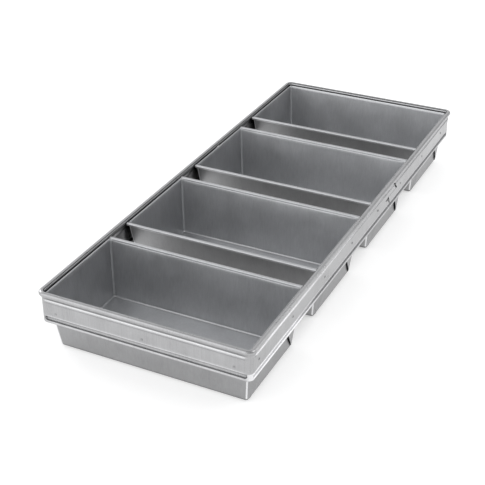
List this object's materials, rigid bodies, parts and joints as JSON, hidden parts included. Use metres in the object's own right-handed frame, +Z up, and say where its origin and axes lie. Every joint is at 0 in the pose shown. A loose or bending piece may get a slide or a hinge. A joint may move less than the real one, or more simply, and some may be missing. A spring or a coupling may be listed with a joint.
{
  "type": "strapped loaf pan set",
  "caption": "Deep tapered loaf pans held side by side in a rigid steel strap with a wired top edge, a stiffening bead and a rolled hem, for baking batches of tin bread.",
  "frame": {"origin": "on the supporting surface, under the middle of the set", "axes": "+X along each pan, +Y along the whole set, +Z up"},
  "size_m": [0.254, 0.6484, 0.0754],
  "materials": {
    "pan_steel": "satin aluminised sheet, fine vertical streaks",
    "strap_steel": "satin aluminised sheet, slightly brighter than the pans",
    "wire_steel": "drawn wire, dull",
    "stud_steel": "dull"
  },
  "bodies": {
    "root": {"pan_1": "pan_steel", "pan_2": "pan_steel", "pan_3": "pan_steel", "pan_4": "pan_steel", "rim_wire_1_far": "wire_steel", "rim_wire_2_near": "wire_steel", "rim_wire_2_far": "wire_steel", "rim_wire_3_near": "wire_steel", "rim_wire_3_far": "wire_steel", "rim_wire_4_near": "wire_steel", "strap_long_piece": "strap_steel", "strap_short_piece": "strap_steel", "strap_rim_wire": "wire_steel", "studs_near_wall": "stud_steel", "studs_far_wall": "stud_steel", "studs_right_ends": "stud_steel", "studs_left_ends": "stud_steel"}
  },
  "joints": []
}
